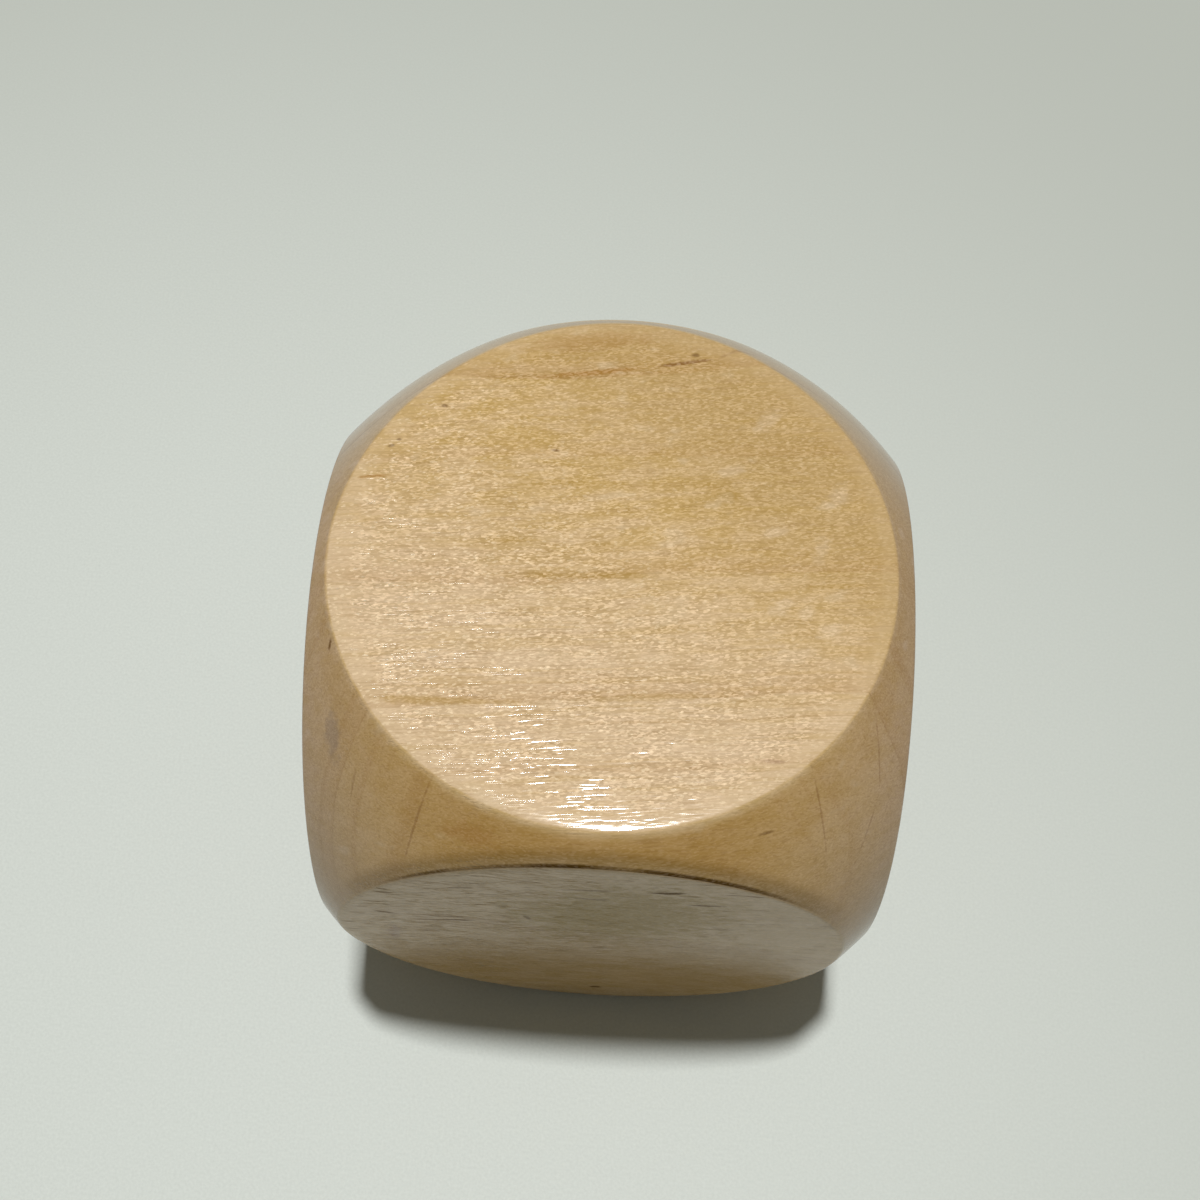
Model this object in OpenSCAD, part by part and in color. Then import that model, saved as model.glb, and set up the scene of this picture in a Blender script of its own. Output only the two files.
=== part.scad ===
// Blank wooden cube, like a die with no spots: one solid block whose edges and
// corners are rounded to a ball. A flat disc is left of each of its six faces,
// and the rim round each disc is eased by sanding.
// X runs along the grain, +Z is up, and the origin is the centre of the face
// that the cube rests on.

/* [Block] */
// Length along the grain, from the left face to the right face
block_length = 49.5; // [42:0.5:62]
// Depth, from the front face to the back face
block_depth = 50.5; // [42:0.5:62]
// Height, from the bottom face to the top face
block_height = 50; // [42:0.5:62]

/* [Rounding] */
// Diameter of the ball that the edges and corners are rounded to
ball_diameter = 67.8; // [56:0.2:82]
// Radius that eases the rim between a flat face and the ball
rim_radius = 0.9; // [0.2:0.1:2]

/* [Hidden] */
ball_radius = ball_diameter / 2;
// Angle at which a rim's arc meets the flat and the ball: too small to see,
// and large enough for the surfaces to cross cleanly
rim_seam_angle = 4;
rim_proud = rim_radius * (1 - cos(rim_seam_angle));

// Two parallel flats with eased rims, turned about Z. Between the rims it flares
// out past the ball, so that there it takes nothing off it.
module eased_flats(width) {
    rim_z = width / 2 - rim_radius + rim_proud;
    rim_x = sqrt(pow(ball_radius - rim_radius + rim_proud, 2) - pow(rim_z, 2));
    flare = 2 * ball_radius / rim_x;
    rotate_extrude()
        intersection() {
            translate([0, -width / 2]) square([2 * ball_radius, width]);
            union() {
                polygon([[0, -width], [rim_x, -width], [rim_x, -rim_z],
                         flare * [rim_x, -rim_z], flare * [rim_x, rim_z],
                         [rim_x, rim_z], [rim_x, width], [0, width]]);
                for (side = [-1, 1])
                    translate([rim_x, side * rim_z]) circle(rim_radius);
            }
        }
}

module wooden_cube() {
    color("burlywood")
        translate([0, 0, block_height / 2])
            intersection() {
                sphere(ball_radius);
                eased_flats(block_height);
                rotate([90, 0, 0]) eased_flats(block_depth);
                rotate([0, 90, 0]) eased_flats(block_length);
            }
}

wooden_cube();
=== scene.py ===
import math
import bmesh
import bpy
from mathutils import Matrix, Vector, noise


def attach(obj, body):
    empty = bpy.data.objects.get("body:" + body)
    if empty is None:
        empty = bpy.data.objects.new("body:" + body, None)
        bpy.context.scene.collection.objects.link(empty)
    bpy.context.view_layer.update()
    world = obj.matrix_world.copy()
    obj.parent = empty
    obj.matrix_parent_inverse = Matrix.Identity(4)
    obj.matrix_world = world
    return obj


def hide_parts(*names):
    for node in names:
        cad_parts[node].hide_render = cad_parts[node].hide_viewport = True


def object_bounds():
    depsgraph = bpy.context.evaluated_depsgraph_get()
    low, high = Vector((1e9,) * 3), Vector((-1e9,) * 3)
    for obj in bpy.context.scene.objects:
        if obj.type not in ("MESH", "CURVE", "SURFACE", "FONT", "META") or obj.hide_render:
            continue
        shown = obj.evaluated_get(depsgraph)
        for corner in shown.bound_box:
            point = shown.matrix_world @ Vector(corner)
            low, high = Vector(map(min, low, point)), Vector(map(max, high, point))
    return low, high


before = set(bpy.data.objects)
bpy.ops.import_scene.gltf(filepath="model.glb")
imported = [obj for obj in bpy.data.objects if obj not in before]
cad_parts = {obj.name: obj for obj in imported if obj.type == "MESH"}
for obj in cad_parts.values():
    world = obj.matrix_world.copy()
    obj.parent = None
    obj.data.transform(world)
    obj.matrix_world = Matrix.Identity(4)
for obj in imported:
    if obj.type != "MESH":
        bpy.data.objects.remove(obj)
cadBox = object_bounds()
middle = (cadBox[0] + cadBox[1]) / 2
mm = 0.001
scene = bpy.context.scene

cameraView = {
    "elevation": 67.2,  # degrees above the floor
    "azimuth": 2.3,  # degrees to the right of the front
    "roll": 1.1,  # degrees
    "distance": 144.5,  # mm from the middle of the cube
    "aimRight": -1.0,  # mm that the camera slides sideways
    "aimUp": -1.5,  # mm
    "lens": 45.0,  # mm
    "sensor": 36.0,  # mm wide
    "shiftUp": 0.083,  # of the sensor's width
    "nearest": 5.0,  # mm, nothing nearer is drawn
}


def makeCamera(view):
    tilt, turn, roll = (math.radians(view[name]) for name in ("elevation", "azimuth", "roll"))
    back = Vector((math.sin(turn) * math.cos(tilt), -math.cos(turn) * math.cos(tilt), math.sin(tilt)))
    level = Vector((math.cos(turn), math.sin(turn), 0))
    right = math.cos(roll) * level + math.sin(roll) * back.cross(level)
    up = back.cross(right)
    place = middle + mm * (view["distance"] * back + view["aimRight"] * right + view["aimUp"] * up)
    data = bpy.data.cameras.new("camera")
    data.sensor_width = view["sensor"]
    data.lens = view["lens"]
    data.shift_y = view["shiftUp"]
    data.clip_start = view["nearest"] * mm
    camera = bpy.data.objects.new("camera", data)
    scene.collection.objects.link(camera)
    turned = Matrix((right, up, back)).transposed()
    camera.matrix_world = Matrix.Translation(place) @ turned.to_4x4()
    scene.camera = camera
    print("camera", [round(c / mm, 1) for c in place])


def linear(hexColour):
    # sRGB hex to linear red, green, blue and alpha
    parts = [int(hexColour[i:i + 2], 16) / 255 for i in (0, 2, 4)]
    return [p / 12.92 if p <= 0.04045 else ((p + 0.055) / 1.055) ** 2.4 for p in parts] + [1.0]


def addNode(tree, kind, inputs, **settings):
    # inputs maps a socket to a value, or to the node or socket that feeds it
    node = tree.nodes.new(kind)
    for name, value in settings.items():
        setattr(node, name, value)
    for key, value in inputs.items():
        if isinstance(value, bpy.types.Node):
            value = value.outputs[0]
        if isinstance(value, bpy.types.NodeSocket):
            tree.links.new(value, node.inputs[key])
        else:
            node.inputs[key].default_value = value
    return node


room = {
    "keyBack": 6.75,  # degrees that the key light leans behind the cube
    "keyRight": 0.6,  # degrees that it leans to the right
    "keyAngle": 4.6,  # degrees across, so the shadow has a narrow soft edge
    "keyStrength": 2.65,
    "keyColour": "FFFFFF",
    "brightSide": (0.25, 0.47, 0.85),  # the soft light comes mostly from above and behind
    "softBright": 0.23,
    "softDim": 0.045,
    "softFrom": -0.5,  # the dim end, as the cosine of the angle from the bright side
    "softTo": 1.0,
    "softColour": "F3EEDF",
}


def makeRoom(settings):
    world = bpy.data.worlds.new("room")
    world.use_nodes = True
    tree = world.node_tree
    direction = addNode(tree, "ShaderNodeTexCoord", {}).outputs["Generated"]
    side = addNode(tree, "ShaderNodeVectorMath", {0: direction, 1: settings["brightSide"]},
                   operation="DOT_PRODUCT")
    strength = addNode(tree, "ShaderNodeMapRange", {
        "Value": side.outputs["Value"], "From Min": settings["softFrom"], "From Max": settings["softTo"],
        "To Min": settings["softDim"], "To Max": settings["softBright"]})
    background = tree.nodes["Background"]
    background.inputs["Color"].default_value = linear(settings["softColour"])
    tree.links.new(strength.outputs[0], background.inputs["Strength"])
    scene.world = world
    key = bpy.data.lights.new("key", "SUN")
    key.energy = settings["keyStrength"]
    key.angle = math.radians(settings["keyAngle"])
    key.color = linear(settings["keyColour"])[:3]
    lamp = bpy.data.objects.new("key", key)
    lamp.rotation_euler = (math.radians(-settings["keyBack"]), math.radians(settings["keyRight"]), 0)
    scene.collection.objects.link(lamp)
    scene.view_settings.view_transform = "Standard"
    print("room")


desk = {
    "half": 600.0,  # mm, half the width of the board
    "pale": "D5DBD5",
    "dark": "C5CBC5",
    "paintedFloorShade": "B6BBB3",  # painted shade, towards the back: the board darkens away from the brightest place
    "brightest": (-50.0, -30.0, 0.0),  # mm
    "shadeFrom": 40.0,  # mm from the brightest place
    "shadeTo": 200.0,
    "pebble": 0.3,  # mm from one pebble to the next
    "relief": 0.01,  # mm
    "roughness": 0.6,
}


def melamineBoard(settings):
    # Pressed melamine: a satin skin with a pebble grain; painted light and shade make it a little
    # brighter towards the light and darker away from it
    material = bpy.data.materials.new("melamineBoard")
    material.use_nodes = True
    tree = material.node_tree
    shader = tree.nodes["Principled BSDF"]
    shader.inputs["Roughness"].default_value = settings["roughness"]
    place = addNode(tree, "ShaderNodeTexCoord", {}).outputs["Object"]
    pebble = addNode(tree, "ShaderNodeTexNoise", {
        "Vector": place, "Scale": 1 / (settings["pebble"] * mm), "Detail": 1.0})
    speckle = addNode(tree, "ShaderNodeMix", {
        0: pebble, 6: linear(settings["dark"]), 7: linear(settings["pale"])}, data_type="RGBA")
    farOff = addNode(tree, "ShaderNodeVectorMath", {
        0: place, 1: [c * mm for c in settings["brightest"]]}, operation="DISTANCE")
    # painted shade: the colour darkens with distance from the brightest place
    floorShadeShare = addNode(tree, "ShaderNodeMapRange", {
        "Value": farOff.outputs["Value"], "From Min": settings["shadeFrom"] * mm,
        "From Max": settings["shadeTo"] * mm}, interpolation_type="SMOOTHSTEP")
    tint = addNode(tree, "ShaderNodeMix", {
        0: floorShadeShare, 6: speckle.outputs[2], 7: linear(settings["paintedFloorShade"])}, data_type="RGBA")
    bump = addNode(tree, "ShaderNodeBump", {"Height": pebble, "Distance": settings["relief"] * mm})
    tree.links.new(tint.outputs[2], shader.inputs["Base Color"])
    tree.links.new(bump.outputs[0], shader.inputs["Normal"])
    return material


def makeFloor(settings):
    mesh = bpy.data.meshes.new("floor")
    half = settings["half"] * mm
    corners = [(x * half, y * half, 0) for x, y in ((-1, -1), (1, -1), (1, 1), (-1, 1))]
    mesh.from_pydata(corners, [], [(0, 1, 2, 3)])
    floor = bpy.data.objects.new("floor", mesh)
    mesh.materials.append(melamineBoard(settings))
    scene.collection.objects.link(floor)
    print("floor")


block = {
    "ballRadius": 33.9,  # mm, the ball that rounds the edges and corners
    "rimRadius": 0.6,  # mm, the turn from a flat to the ball
    "shoulder": 1.2,  # mm of each flat that sanding leans over before its rim
    "shoulderLean": 6.2,  # degrees at the rim
    "shoulderPower": 3,  # how late along the shoulder most of the lean comes
    "leanToLeft": 7.5,  # degrees more on the left side and less on the right
    "leanLimits": (1.5, 9.0),  # degrees
    # rings of faces across the flat disc, the shoulder, the rim and the ball
    "discRings": 44,
    "shoulderRings": 5,
    "rimRings": 5,
    "ballRings": 10,
    # where sanding left the ball fuller or leaner: direction from the middle, mm, degrees across
    "wear": [
        ((0.7, -0.75, 0.0), -0.45, 26),
        ((-0.67, -0.74, 0.0), 0.2, 12),
        ((0.0, -0.75, -0.66), 0.6, 28),
        ((-0.74, 0.0, 0.67), 0.28, 20),
        ((0.0, 0.74, 0.67), 0.3, 25),
        ((-0.82, -0.52, -0.22), -0.5, 14),
        ((-0.67, 0.68, 0.29), -0.4, 18),
        ((0.81, 0.54, 0.23), -0.4, 18),
    ],
    "unevenness": 0.012,  # mm, slow waves left by the sanding belt
    "unevennessLength": 9.0,  # mm
    "weldGap": 0.001,  # mm within which the edges of two patches are joined
}


def ballReach(direction, settings):
    reach = settings["ballRadius"]
    for wornSide, more, width in settings["wear"]:
        apart = math.degrees(direction.angle(Vector(wornSide)))
        reach += more * math.exp(-(apart / width) ** 2)
    return reach


def ringPlace(ring, half, ball, lean, settings):
    # One ring's radius and height in mm, from a flat's middle out to its rim, and where the ball starts
    rim, width, power = settings["rimRadius"], settings["shoulder"], settings["shoulderPower"]
    drop = width * math.tan(lean) / power
    # the rim's arc touches the ball from inside, and it starts at the shoulder's lean
    arcHeight = half - drop - rim * math.cos(lean)
    arcRadius = math.sqrt((ball - rim) ** 2 - arcHeight ** 2)
    ballTurn = math.atan2(arcRadius, arcHeight)
    flat = arcRadius + rim * math.sin(lean) - width
    if ring < settings["discRings"]:
        return flat * ring / settings["discRings"], half, ballTurn
    ring -= settings["discRings"]
    if ring < settings["shoulderRings"]:
        share = ring / settings["shoulderRings"]
        return flat + width * share, half - drop * share ** power, ballTurn
    ring -= settings["shoulderRings"]
    turn = lean + (ballTurn - lean) * ring / settings["rimRings"]
    return arcRadius + rim * math.sin(turn), arcHeight + rim * math.cos(turn), ballTurn


def flatPatch(builder, halves, axis, side, settings):
    # One of six patches: a square grid whose rings run from round, on the flat, to square
    ballStart = settings["discRings"] + settings["shoulderRings"] + settings["rimRings"]
    count = ballStart + settings["ballRings"]
    rimTurn = math.acos(halves[axis] / settings["ballRadius"])
    ahead = Vector([side if i == axis else 0 for i in range(3)])
    across = Vector([1 if i == (axis + 1) % 3 else 0 for i in range(3)])
    along = ahead.cross(across)
    least, most = settings["leanLimits"]
    grid = {}
    for u in range(-count, count + 1):
        for v in range(-count, count + 1):
            ring = max(abs(u), abs(v))
            # each half side of the square becomes an eighth of a turn
            if abs(u) >= abs(v):
                eighth = math.pi / 4 * v / u if u else 0.0
                angle = eighth + (math.pi if u < 0 else 0.0)
            else:
                eighth = -math.pi / 4 * u / v
                angle = math.pi / 2 + eighth + (math.pi if v < 0 else 0.0)
            outward = math.cos(angle) * across + math.sin(angle) * along
            ball = ballReach(math.cos(rimTurn) * ahead + math.sin(rimTurn) * outward, settings)
            lean = settings["shoulderLean"] - settings["leanToLeft"] * outward.x
            lean = math.radians(min(most, max(least, lean)))
            radius, height, ballTurn = ringPlace(ring, halves[axis], ball, lean, settings)
            if ring >= ballStart:
                edgeTurn = math.atan2(1, math.cos(eighth))
                turn = ballTurn + (edgeTurn - ballTurn) * (ring - ballStart) / settings["ballRings"]
                direction = math.cos(turn) * ahead + math.sin(turn) * outward
                reach = ballReach(direction, settings)
                radius = reach * math.sin(turn)
                height = reach * math.cos(turn)
            grid[u, v] = builder.verts.new(height * ahead + radius * outward)
    for u in range(-count, count):
        for v in range(-count, count):
            builder.faces.new((grid[u, v], grid[u + 1, v], grid[u + 1, v + 1], grid[u, v + 1]))


def makeCube(settings):
    size = (cadBox[1] - cadBox[0]) / mm
    builder = bmesh.new()
    for axis in range(3):
        for side in (-1, 1):
            flatPatch(builder, size / 2, axis, side, settings)
    bmesh.ops.remove_doubles(builder, verts=builder.verts, dist=settings["weldGap"])
    builder.normal_update()
    # the waves only go inwards, so that the cube stays inside the bounds of its frame
    waves = []
    for vert in builder.verts:
        wave = noise.noise(vert.co / settings["unevennessLength"]) - 1
        waves.append(vert.co + vert.normal * settings["unevenness"] * wave)
    for vert, place in zip(builder.verts, waves):
        vert.co = middle + place * mm
    mesh = bpy.data.meshes.new("woodenCube")
    builder.to_mesh(mesh)
    builder.free()
    mesh.shade_smooth()
    cube = bpy.data.objects.new("woodenCube", mesh)
    scene.collection.objects.link(cube)
    mesh.materials.append(lacqueredBirch(wood))
    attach(cube, "root")
    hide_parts("wooden_cube")
    print("cube", len(mesh.vertices), "points", len(mesh.polygons), "faces")


wood = {
    "grainTurn": 5.0,  # degrees that the fibres lean to the back on the right
    "fibreSway": 0.9,  # mm
    "swayLength": (16.0, 9.0, 9.0),  # mm along and across the fibres
    "heart": (0.0, 46.0, -25.0),  # mm from the middle to the heart of the tree, which runs along X
    # mm from the heart to each ring's dark line, and how marked it is
    "rings": [(24, 0.8), (30.5, 0.97), (37, 0.8), (43.5, 1.0), (50.5, 0.8), (57, 1.0), (61.6, 0.9),
              (69, 0.95), (76.6, 0.97), (78, 0.9), (81.1, 1.0), (88.5, 0.97)],
    "ringStart": 20.0,  # mm
    "ringEnd": 95.0,
    "ringFall": 0.3,  # mm from a dark line to the next year's pale wood
    "ringWander": 0.8,  # mm
    "autumnPower": 5.0,  # how late in its year the wood turns golden
    "linePower": 26.0,  # how late the dark line comes
    "thinSpacing": 0.9,  # mm between the faint lines within a ring
    "thinLength": 40.0,  # mm along the fibres
    # directions in which the wood changes slowly
    "ways": {"toBackRight": (0.75, 0.66, 0), "toRight": (0.9, 0.45, 0), "toBack": (0.4, 0.9, 0)},
    "lowFront": (0, -0.8, -0.6),  # the way that the faces with the most painted shade turn: down and to the front
    # length along the fibres and thickness in mm, detail and seed of each pattern
    # one with no detail is made of separate cells, each with its own tone
    "patterns": {
        "wander": (30, 12, 1, 3),  # waves in the rings
        "patch": (3.6, 1.3, 5, 7),  # rosy and golden areas
        "streak": (16, 0.55, 3, 11),  # thin bands along the fibres
        "broken": (14, 1.5, 3, 5),  # gaps in the ring lines
        "vessel": (3.4, 0.15, 0, 17),  # open pores, really under 0.1 mm wide: coarser so that they show
        "vesselArea": (5, 1.4, 2, 29),  # where more of the pores are open
        "dimple": (1.8, 0.25, 1, 19),  # lacquer dried over the fibres
        "blotch": (3.2, 2.2, 2, 37),  # pale spots under the lacquer
        "dash": (7.0, 0.3, 2, 31),  # dark handling marks caught in the fibres
        "rimLineBreaks": (6, 6, 3, 23),  # where the dark line along the front's rim is stronger
        "ragged": (1.2, 0.7, 3, 41),  # uneven edges of the small marks
        "stipple": (0.3, 0.1, None, 13),  # bundles of fibres with painted sparkle of the lacquer, really finer: coarser so that they show
        "glintCells": (0.28, 0.12, None, 43),  # painted glints: bright cells for the lacquer's sparkle, coarser in the same way
    },
    "golden": "C4A364",  # the ground colour
    "rosy": "D4B688",
    "farGold": "BE9F6A",  # deeper towards the back on the right
    "blush": "DDC3A2",  # painted glow: the near side of the top is paler where the lacquer's broad reflection of the key light lies
    "ringGold": "AC8145",
    "bandGold": "AE8A3E",
    "lateWood": "7A4E26",  # the dark line that ends a year
    "vesselGold": "A38050",
    "pale": "D8C09B",
    # painted glints, the most on the near left of the top
    "flakeTint": "F7DFB9",
    "honey": "E5D9BE",  # side grain on the ball
    "endGrain": "D9D7F2",
    "handled": "DED6CA",  # painted shade: faces turned down and to the front are a little darker
    "haze": "B8BDC0",  # painted reflection: a pale grey sheen on the back of the ball, where the lacquer reflects the room
    "oldWax": "6E5424",  # painted shade on the ball just above the front's rim
    "rimBrown": "4A3517",
    "grimeBrown": "5E421A",
    "oldLacquer": "967A2A",  # yellowed where it was handled most
    "speckBrown": "6B4A22",
    "rustBrown": "8A6246",
    "mauve": "8E7B6B",
    "fleck": "E6D0B4",
    # the finest grains are added to the colour: a half changes nothing, and blue changes least
    "grainDark": (0.22, 0.27, 0.34, 1),
    "grainPale": (1.4, 1.22, 1.04, 1),
    "roughness": 0.45,
    "gloss": 0.8,  # weight of the lacquer
    "lacquerRoughness": 0.11,
    "lacquerIndex": 1.5,  # refractive index
    "relief": 0.02,  # mm, the most that a pore sinks or a dimple stands up
    "matt": {"grimeBrown": 0.9, "oldLacquer": 0.4},  # share of the gloss lost under them
    # soft steps: name, the field it reads, where it starts and ends, and its value at each
    # the field widest is 25 on the flats and less on the ball
    "steps": [
        # rosy and golden areas
        ("rosyLeast", "widest", 24.2, 24.9, 0.45, 0.2),
        ("rosyMost", "widest", 24.2, 24.9, 0.75, 0.95),
        ("rosyShare", "patch", 0.36, 0.64, "rosyLeast", "rosyMost"),
        ("farShare", "toBackRight", 2.0, 18.0, 0.0, 0.85),
        ("topShare", "up", 0.9, 0.99, 0.0, 0.7),
        # painted glow on the near side of the top
        ("paintedGlowShare", "toBack", 8.0, -12.0, 0.0, "topShare"),
        ("bandShare", "streak", 0.5, 0.66, 0.0, 0.3),
        # year rings, plainer on the ends
        ("gapLeast", "end", 0.15, 0.4, 0.0, 0.6),
        ("gap", "broken", 0.42, 0.58, "gapLeast", 1.0),
        ("seenEnd", "end", 0.12, 0.45, 0.12, 0.65),
        ("autumnMost", "widest", 24.2, 24.9, 0.2, 0.3),
        ("autumnShare", "autumn", 0.0, 1.0, 0.0, "autumnMost"),
        ("lineShare", "line", 0.1, 0.8, 0.0, "gap"),
        ("lineDepth", "lineShare", 0.0, 1.0, 0.0, "seenEnd"),
        ("thinShare", "thin", 0.52, 0.66, 0.0, "seenEnd"),
        ("thinDepth", "thinShare", 0.0, 1.0, 0.0, 0.24),
        # pores, pale spots, painted glints and the sanded rims
        ("vesselShare", "vessel", 0.58, 0.7, 0.0, 0.25),
        ("paleShare", "blotch", 0.62, 0.74, 0.0, 0.4),
        ("glintNear", "toBackRight", -14.0, 12.0, 0.6, 0.15),
        ("glintTop", "up", 0.9, 0.99, 0.0, "glintNear"),
        ("paintedGlintShare", "glintCells", 0.74, 0.84, 0.0, "glintTop"),
        ("onFlat", "widest", 24.5, 24.8, 0.0, 0.15),
        ("rimPale", "reach", 32.8, 33.5, 0.0, "onFlat"),
        # side grain and end grain on the ball, painted shade on the faces turned down and to the front,
        # and a painted reflection on the back of the ball
        ("onBall", "widest", 24.9, 24.2, 0.0, 1.0),
        ("sideGrain", "end", 0.75, 0.2, 0.0, "onBall"),
        ("endShare", "end", 0.35, 0.9, 0.0, 1.0),
        ("lowFrontShade", "frontLow", 0.15, 0.65, 0.0, 0.9),
        ("paintedSheenMost", "widest", 24.9, 24.2, 0.0, 0.28),
        ("paintedSheenOnBall", "back", 0.1, 0.6, 0.0, "paintedSheenMost"),
        # painted shade on the ball above the front's upper rim, and a thin dark line along the rim
        ("upward", "up", 0.1, 0.5, 0.0, 1.0),
        ("rimStart", "depth", -25.2, -25.15, 0.0, "upward"),
        ("rimShade", "depth", -23.4, -25.0, 0.0, "rimStart"),
        ("rimShadow", "rimShade", 0.0, 1.0, 0.0, 0.6),
        ("rimFade", "sideways", 12.0, 21.0, "upward", 0.0),
        ("rimLineStart", "depth", -25.2, -25.15, 0.0, "rimFade"),
        ("rimLineBand", "depth", -24.85, -25.05, 0.0, "rimLineStart"),
        ("rimAlong", "sideways", 8.0, 20.0, 0.9, 0.42),
        ("rimLineSpread", "rimLineBreaks", 0.36, 0.6, 0.42, "rimAlong"),
        ("rimLine", "rimLineBand", 0.0, 1.0, 0.0, "rimLineSpread"),
        # dark dashes on the front
        ("frontShare", "back", -0.95, -0.99, 0.0, 1.0),
        ("dashHigh", "height", -14.0, 8.0, 0.08, 0.6),
        ("dashShare", "dash", 0.62, 0.72, 0.0, "frontShare"),
        ("dashDepth", "dashShare", 0.0, 1.0, 0.0, "dashHigh"),
        # the finest grains, partly painted sparkle, stronger towards the near left, plainer on the rims,
        # the front and the ball
        ("grainTone", "stipple", 0.28, 1.04, 0.0, 1.0),
        ("grainFar", "toBackRight", -6.0, 14.0, 0.165, 0.085),
        ("grainPatch", "vesselArea", 0.35, 0.65, 0.08, "grainFar"),
        ("plainRim", "reach", 32.4, 33.2, "grainPatch", 0.04),
        ("plainFront", "frontShare", 0.0, 1.0, "plainRim", 0.05),
        ("grainShare", "widest", 24.2, 24.9, 0.035, "plainFront"),
        # open pores that glint, mostly on the left
        ("poreMost", "toRight", -20.0, -7.0, 0.95, 0.04),
        ("poreDepth", "vesselArea", 0.36, 0.64, 0.04, "poreMost"),
        ("groove", "vessel", 0.52, 0.7, 0.0, "poreDepth"),
        ("bumpShare", "widest", 24.3, 24.7, 0.3, 1.0),
    ],
    # colours laid over each other: how much, the colour and how it mixes
    "layers": [
        ("rosyShare", "rosy", "MIX"),
        ("farShare", "farGold", "MIX"),
        ("paintedGlowShare", "blush", "MIX"),
        ("bandShare", "golden", "MIX"),
        ("autumnShare", "ringGold", "MIX"),
        ("lineDepth", "lateWood", "MIX"),
        ("thinDepth", "ringGold", "MIX"),
        ("vesselShare", "vesselGold", "MIX"),
        ("paleShare", "pale", "MIX"),
        ("paintedGlintShare", "flakeTint", "MIX"),
        ("rimPale", "pale", "MIX"),
        ("sideGrain", "honey", "MULTIPLY"),
        ("endShare", "endGrain", "MULTIPLY"),
        ("lowFrontShade", "handled", "MULTIPLY"),
        ("paintedSheenOnBall", "haze", "MIX"),
        ("rimShadow", "oldWax", "MIX"),
        ("rimLine", "rimBrown", "MIX"),
        ("dashDepth", "grimeBrown", "MIX"),
    ],
    "markRagged": 1.4,  # half widths by which a mark's edge wanders, 0.7 on average
    "markEdge": (1.75, 1.0),  # half widths at which it starts to show, and is at full strength
    "markDepth": 1.0,  # mm below and above its line, so that it shows on the round ball too
    # small marks: start and end in mm from the middle, width in mm, colour and strength
    "marks": [
        ((-19.5, 9.7, 25), (-19, 9.9, 25), 0.4, "speckBrown", 0.6),
        ((-18.8, 10.4, 25), (-18.5, 10.4, 25), 0.35, "speckBrown", 0.6),
        ((-15.4, 14, 25), (-15, 14, 25), 0.35, "speckBrown", 0.6),
        ((-5.8, 10.2, 25), (-5.2, 10.2, 25), 0.35, "speckBrown", 0.6),
        ((5.7, 20.5, 25), (6.1, 20.5, 25), 0.4, "speckBrown", 0.6),
        ((-22.2, -8.7, 24.3), (-22, -8.3, 24.3), 0.5, "speckBrown", 0.85),
        ((-22, -16.5, 21), (-21.2, -13.5, 21.5), 2.4, "mauve", 0.5),
        ((12, -16.5, 25), (14.3, -16.5, 25), 0.3, "rustBrown", 0.4),
        ((-22, 6.5, 25), (-19, 7, 25), 0.4, "ringGold", 0.8),
        ((12.3, -21.8, 22.9), (13.5, -21.3, 22.6), 0.4, "speckBrown", 0.6),
        ((-12, -23, 22.8), (-7.5, -23, 22.8), 2.4, "ringGold", 0.6),
        # the ring line that crosses the far side of the top
        ((-7.6, 17.3, 25), (2.8, 19.1, 25), 0.6, "ringGold", 0.8),
        ((2.4, 19, 25), (7.7, 20.2, 25), 0.4, "lateWood", 0.6),
        ((7.5, 20.1, 25), (11.6, 21.5, 23.5), 0.45, "lateWood", 0.4),
        ((-10, 20.4, 25), (4.5, 22.3, 24.9), 1.8, "ringGold", 0.35),
        # golden bands where the rings come up to the top
        ((-20, -13.2, 25), (-4.5, -12.8, 25), 0.9, "bandGold", 0.5),
        ((-5, -12.6, 25), (12, -10.9, 25), 0.8, "bandGold", 0.36),
        ((-9.6, -1.8, 25), (6, -1, 25), 0.8, "bandGold", 0.46),
        ((13.8, -1.5, 25), (22, -0.8, 25), 0.6, "bandGold", 0.4),
        ((-10.8, 1.4, 25), (-6, 1.6, 25), 0.7, "bandGold", 0.36),
        ((-3.2, 1.4, 25), (0.2, 1.7, 25), 0.8, "bandGold", 0.46),
        ((-8.4, 6.8, 25), (-1.6, 7.3, 25), 0.6, "bandGold", 0.36),
        ((7, 7.6, 25), (9.6, 6.6, 25), 1.9, "bandGold", 0.36),
        # pale spots under the lacquer
        ((11.5, 13.5, 25), (13, 15, 25), 1.8, "fleck", 0.24),
        ((17.8, 6.5, 25), (18.6, 7.7, 25), 1.8, "fleck", 0.24),
        ((12.6, -3.8, 25), (14, -3.2, 25), 1.6, "fleck", 0.24),
        ((15.4, -4, 25), (15.8, -3.3, 25), 1.3, "fleck", 0.24),
        ((16.8, -5.4, 25), (18, -4.8, 25), 1.6, "fleck", 0.24),
        ((8.4, 8.8, 25), (9.8, 9.4, 25), 1.5, "fleck", 0.24),
        ((16.5, 1.2, 25), (16.9, 2.8, 25), 1.5, "fleck", 0.24),
        ((12.3, 3.2, 25), (13.7, 3.6, 25), 1.3, "fleck", 0.24),
        ((13, -7.8, 25), (16, -7.2, 25), 2, "fleck", 0.24),
        # ring lines that show where they come out at the corners
        ((-12.7, -18.7, 25.4), (-15.5, -24.7, 17.5), 0.28, "lateWood", 0.36),
        ((-19.3, -17.4, 21.8), (-20.1, -20, 18.8), 0.28, "lateWood", 0.3),
        ((15.9, -16.3, 25.2), (18.4, -22.4, 18), 0.26, "lateWood", 0.34),
        ((21, -11, 24.2), (22.2, -16.5, 19.6), 0.26, "lateWood", 0.32),
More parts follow.
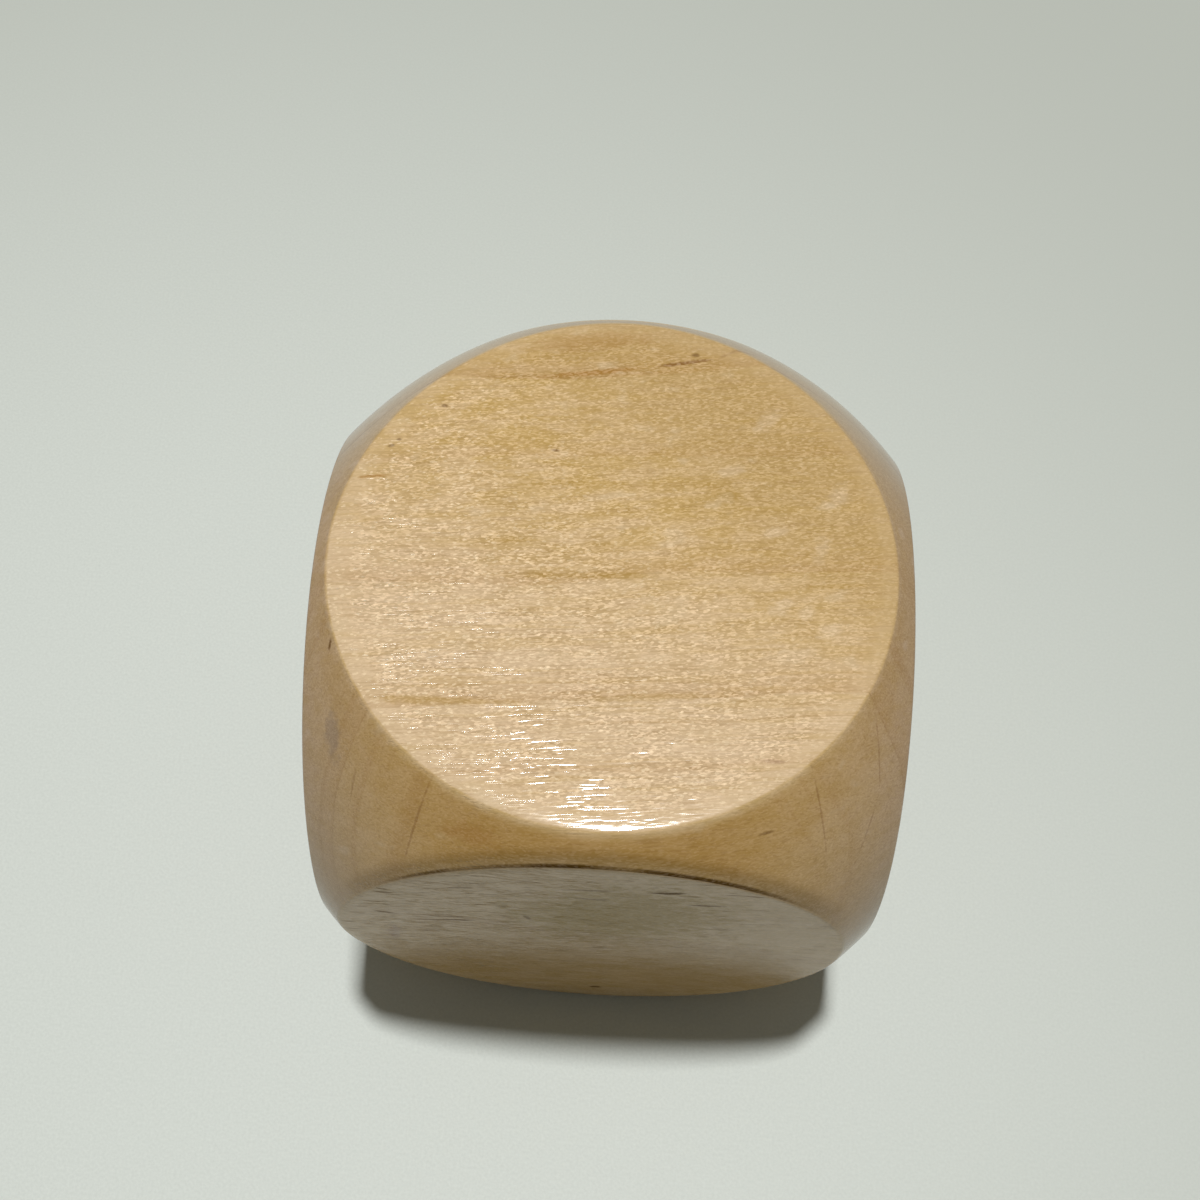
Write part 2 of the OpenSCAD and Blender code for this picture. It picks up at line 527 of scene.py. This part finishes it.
        ((22.2, -16.3, 19.7), (20.8, -21.6, 15.8), 0.26, "lateWood", 0.3),
        # handling marks on the front
        ((0, -25.2, 8), (4, -25.2, 11), 21, "oldLacquer", 0.8),
        ((-19.2, -25.2, 6.6), (-17.2, -25.2, 5.9), 0.7, "grimeBrown", 0.6),
        ((-16, -25.2, 4.2), (-9.5, -25.2, 5.3), 0.6, "grimeBrown", 0.7),
        ((-14.5, -25.2, 5.6), (-11, -25.2, 6.1), 0.4, "grimeBrown", 0.5),
        ((-6.1, -25.2, 8), (-5.5, -25.2, 6), 0.7, "grimeBrown", 0.5),
        ((4.2, -25.2, 17), (7.4, -25.2, 17.5), 0.7, "grimeBrown", 0.85),
        ((6.8, -25.2, 14.1), (11, -25.2, 14.3), 0.6, "grimeBrown", 0.65),
        ((-3.2, -25.2, 16.6), (2.2, -25.2, 17), 0.6, "grimeBrown", 0.5),
        ((-1.6, -25.2, 14.3), (1, -25.2, 14.2), 0.6, "grimeBrown", 0.5),
        ((-12.2, -25.2, 15.2), (-9.6, -25.2, 15.6), 0.6, "grimeBrown", 0.45),
        ((-0.6, -25.2, -2.3), (0.9, -25.2, -2.2), 1.1, "grimeBrown", 0.35),
        ((9.4, -25.2, 6.8), (11.9, -25.2, 6.9), 0.7, "grimeBrown", 0.35),
        ((-17.8, -25.2, 2.1), (-18.4, -25.2, -3.6), 1.5, "rustBrown", 0.5),
        ((-0.3, -25, -19), (0.4, -25, -19), 1, "grimeBrown", 1),
    ],
}


def lacqueredBirch(settings):
    # Sanded birch under a thin clear lacquer: pale, fine grained, with small bright glints
    material = bpy.data.materials.new("lacqueredBirch")
    material.use_nodes = True
    tree = material.node_tree
    shader = tree.nodes["Principled BSDF"]
    texture = addNode(tree, "ShaderNodeTexCoord", {})
    # millimetres from the middle of the cube
    spot = addNode(tree, "ShaderNodeMapping", {
        "Vector": texture.outputs["Object"], "Location": tuple(-middle / mm),
        "Scale": (1 / mm, 1 / mm, 1 / mm)})
    # the same, but with X along the fibres, which sway
    halfSway = settings["fibreSway"] / 2
    straight = addNode(tree, "ShaderNodeMapping", {
        "Vector": spot, "Location": (0, -halfSway, -halfSway),
        "Rotation": (0, 0, math.radians(-settings["grainTurn"]))})
    slow = addNode(tree, "ShaderNodeMapping", {
        "Vector": straight, "Scale": tuple(1 / length for length in settings["swayLength"])})
    sway = addNode(tree, "ShaderNodeTexNoise", {"Vector": slow, "Scale": 1.0, "Detail": 1.0})
    grain = addNode(tree, "ShaderNodeVectorMath", {
        0: sway.outputs["Color"], 1: (0, settings["fibreSway"], settings["fibreSway"]), 2: straight},
        operation="MULTIPLY_ADD")
    field = {}
    for name, (length, thickness, detail, seed) in settings["patterns"].items():
        drawn = addNode(tree, "ShaderNodeMapping", {
            "Vector": grain, "Location": (seed, 2 * seed, 3 * seed),
            "Scale": (1 / length, 1 / thickness, 1 / thickness)})
        if detail is None:
            cells = addNode(tree, "ShaderNodeTexVoronoi", {"Vector": drawn, "Scale": 1.0})
            field[name] = cells.outputs["Color"]
        else:
            clouds = addNode(tree, "ShaderNodeTexNoise", {
                "Vector": drawn, "Scale": 1.0, "Detail": detail})
            field[name] = clouds.outputs[0]

    # the year in which the wood at a point grew, from 0 to 1 through each ring
    heart = addNode(tree, "ShaderNodeVectorMath", {0: grain, 1: settings["heart"]}, operation="SUBTRACT")
    section = addNode(tree, "ShaderNodeVectorMath", {0: heart, 1: (0, 1, 1)}, operation="MULTIPLY")
    fromHeart = addNode(tree, "ShaderNodeVectorMath", {0: section}, operation="LENGTH")
    wander = settings["ringWander"]
    age = addNode(tree, "ShaderNodeMath", {
        0: field["wander"], 1: 2 * wander, 2: fromHeart.outputs["Value"]}, operation="MULTIPLY_ADD")
    first, last = settings["ringStart"], settings["ringEnd"]
    season = addNode(tree, "ShaderNodeMapRange", {
        "Value": age, "From Min": first + wander, "From Max": last + wander})
    year = addNode(tree, "ShaderNodeValToRGB", {"Fac": season})
    stops = year.color_ramp.elements
    stops.remove(stops[1])
    stops[0].color = (0, 0, 0, 1)
    for ring, mark in settings["rings"]:
        stops.new((ring - first) / (last - first)).color = (mark, mark, mark, 1)
        stops.new((ring + settings["ringFall"] - first) / (last - first)).color = (0, 0, 0, 1)
    for name, power in (("autumn", "autumnPower"), ("line", "linePower")):
        late = addNode(tree, "ShaderNodeMath", {0: year, 1: settings[power]}, operation="POWER")
        field[name] = late.outputs[0]
    # faint lines that follow the rings and change slowly along the fibres
    thinAge = addNode(tree, "ShaderNodeMath", {0: age, 1: 1 / settings["thinSpacing"]},
                      operation="MULTIPLY")
    thinAlong = addNode(tree, "ShaderNodeVectorMath", {0: grain, 1: (1 / settings["thinLength"], 0, 0)},
                        operation="MULTIPLY")
    thinAcross = addNode(tree, "ShaderNodeCombineXYZ", {"Y": thinAge})
    thinPlace = addNode(tree, "ShaderNodeVectorMath", {0: thinAlong, 1: thinAcross}, operation="ADD")
    thin = addNode(tree, "ShaderNodeTexNoise", {"Vector": thinPlace, "Scale": 1.0, "Detail": 3.0})
    field["thin"] = thin.outputs[0]

    # which way a point faces
    facing = addNode(tree, "ShaderNodeSeparateXYZ", {0: texture.outputs["Normal"]})
    field["up"] = facing.outputs["Z"]
    field["back"] = facing.outputs["Y"]
    endOn = addNode(tree, "ShaderNodeMath", {0: facing.outputs["X"]}, operation="ABSOLUTE")
    field["end"] = endOn.outputs[0]
    frontLow = addNode(tree, "ShaderNodeVectorMath", {
        0: texture.outputs["Normal"], 1: settings["lowFront"]}, operation="DOT_PRODUCT")
    field["frontLow"] = frontLow.outputs["Value"]

    # where it lies
    for name, way in settings["ways"].items():
        distance = addNode(tree, "ShaderNodeVectorMath", {0: grain, 1: way}, operation="DOT_PRODUCT")
        field[name] = distance.outputs["Value"]
    reach = addNode(tree, "ShaderNodeVectorMath", {0: spot}, operation="LENGTH")
    field["reach"] = reach.outputs["Value"]
    place = addNode(tree, "ShaderNodeSeparateXYZ", {0: spot})
    field["depth"] = place.outputs["Y"]
    field["height"] = place.outputs["Z"]
    mirrored = addNode(tree, "ShaderNodeVectorMath", {0: spot}, operation="ABSOLUTE")
    size = addNode(tree, "ShaderNodeSeparateXYZ", {0: mirrored})
    field["sideways"] = size.outputs["X"]
    wider = addNode(tree, "ShaderNodeMath", {0: size.outputs["X"], 1: size.outputs["Y"]},
                    operation="MAXIMUM")
    widest = addNode(tree, "ShaderNodeMath", {0: wider, 1: size.outputs["Z"]}, operation="MAXIMUM")
    field["widest"] = widest.outputs[0]

    for name, source, low, high, bottom, top in settings["steps"]:
        step = addNode(tree, "ShaderNodeMapRange", {
            "Value": field[source], "From Min": low, "From Max": high,
            "To Min": field.get(bottom, bottom), "To Max": field.get(top, top)},
            interpolation_type="SMOOTHSTEP")
        field[name] = step.outputs[0]

    colour = linear(settings["golden"])
    for share, tint, blend in settings["layers"]:
        layer = addNode(tree, "ShaderNodeMix", {
            0: field[share], 6: colour, 7: linear(settings[tint])}, data_type="RGBA", blend_type=blend)
        colour = layer.outputs[2]
    matt = addNode(tree, "ShaderNodeMath", {0: field["dashDepth"], 1: field["rimLine"]},
                   operation="MAXIMUM")
    outer, inner = settings["markEdge"]
    for start, end, width, tint, strength in settings["marks"]:
        start, end = Vector(start), Vector(end)
        along = (end - start).normalized()
        across = (start + end).cross(along).normalized()
        turned = Matrix((along, across, along.cross(across))).transposed().to_euler()
        halves = (((end - start).length + width) / 2, width / 2, width / 2 + settings["markDepth"])
        nearby = addNode(tree, "ShaderNodeMapping", {
            "Vector": spot, "Location": (start + end) / 2, "Rotation": turned, "Scale": halves},
            vector_type="TEXTURE")
        away = addNode(tree, "ShaderNodeVectorMath", {0: nearby}, operation="LENGTH")
        uneven = addNode(tree, "ShaderNodeMath", {
            0: field["ragged"], 1: settings["markRagged"], 2: away.outputs["Value"]},
            operation="MULTIPLY_ADD")
        share = addNode(tree, "ShaderNodeMapRange", {
            "Value": uneven, "From Min": outer, "From Max": inner, "To Max": strength},
            interpolation_type="SMOOTHSTEP")
        layer = addNode(tree, "ShaderNodeMix", {0: share, 6: colour, 7: linear(settings[tint])},
                        data_type="RGBA")
        colour = layer.outputs[2]
        if tint in settings["matt"]:
            lost = addNode(tree, "ShaderNodeMath", {0: share, 1: settings["matt"][tint]},
                           operation="MULTIPLY")
            matt = addNode(tree, "ShaderNodeMath", {0: matt, 1: lost}, operation="MAXIMUM")
    grains = addNode(tree, "ShaderNodeMix", {
        0: field["grainTone"], 6: settings["grainDark"], 7: settings["grainPale"]}, data_type="RGBA")
    layer = addNode(tree, "ShaderNodeMix", {
        0: field["grainShare"], 6: colour, 7: grains.outputs[2]},
        data_type="RGBA", blend_type="LINEAR_LIGHT")
    tree.links.new(layer.outputs[2], shader.inputs["Base Color"])
    shader.inputs["Roughness"].default_value = settings["roughness"]
    shader.inputs["Specular IOR Level"].default_value = 0.0  # only the lacquer shines
    coat = addNode(tree, "ShaderNodeMapRange", {
        "Value": matt, "To Min": settings["gloss"], "To Max": 0.0})
    tree.links.new(coat.outputs[0], shader.inputs["Coat Weight"])
    shader.inputs["Coat Roughness"].default_value = settings["lacquerRoughness"]
    shader.inputs["Coat IOR"].default_value = settings["lacquerIndex"]

    # the lacquer sinks into the open pores, and dries over the fibres in small dimples
    lacquerTop = addNode(tree, "ShaderNodeMath", {0: field["groove"], 1: -1.0, 2: field["dimple"]},
                         operation="MULTIPLY_ADD")
    bump = addNode(tree, "ShaderNodeBump", {
        "Strength": field["bumpShare"], "Height": lacquerTop, "Distance": settings["relief"] * mm})
    tree.links.new(bump.outputs[0], shader.inputs["Normal"])
    tree.links.new(bump.outputs[0], shader.inputs["Coat Normal"])
    return material


makeCamera(cameraView)
makeRoom(room)
makeFloor(desk)
makeCube(block)
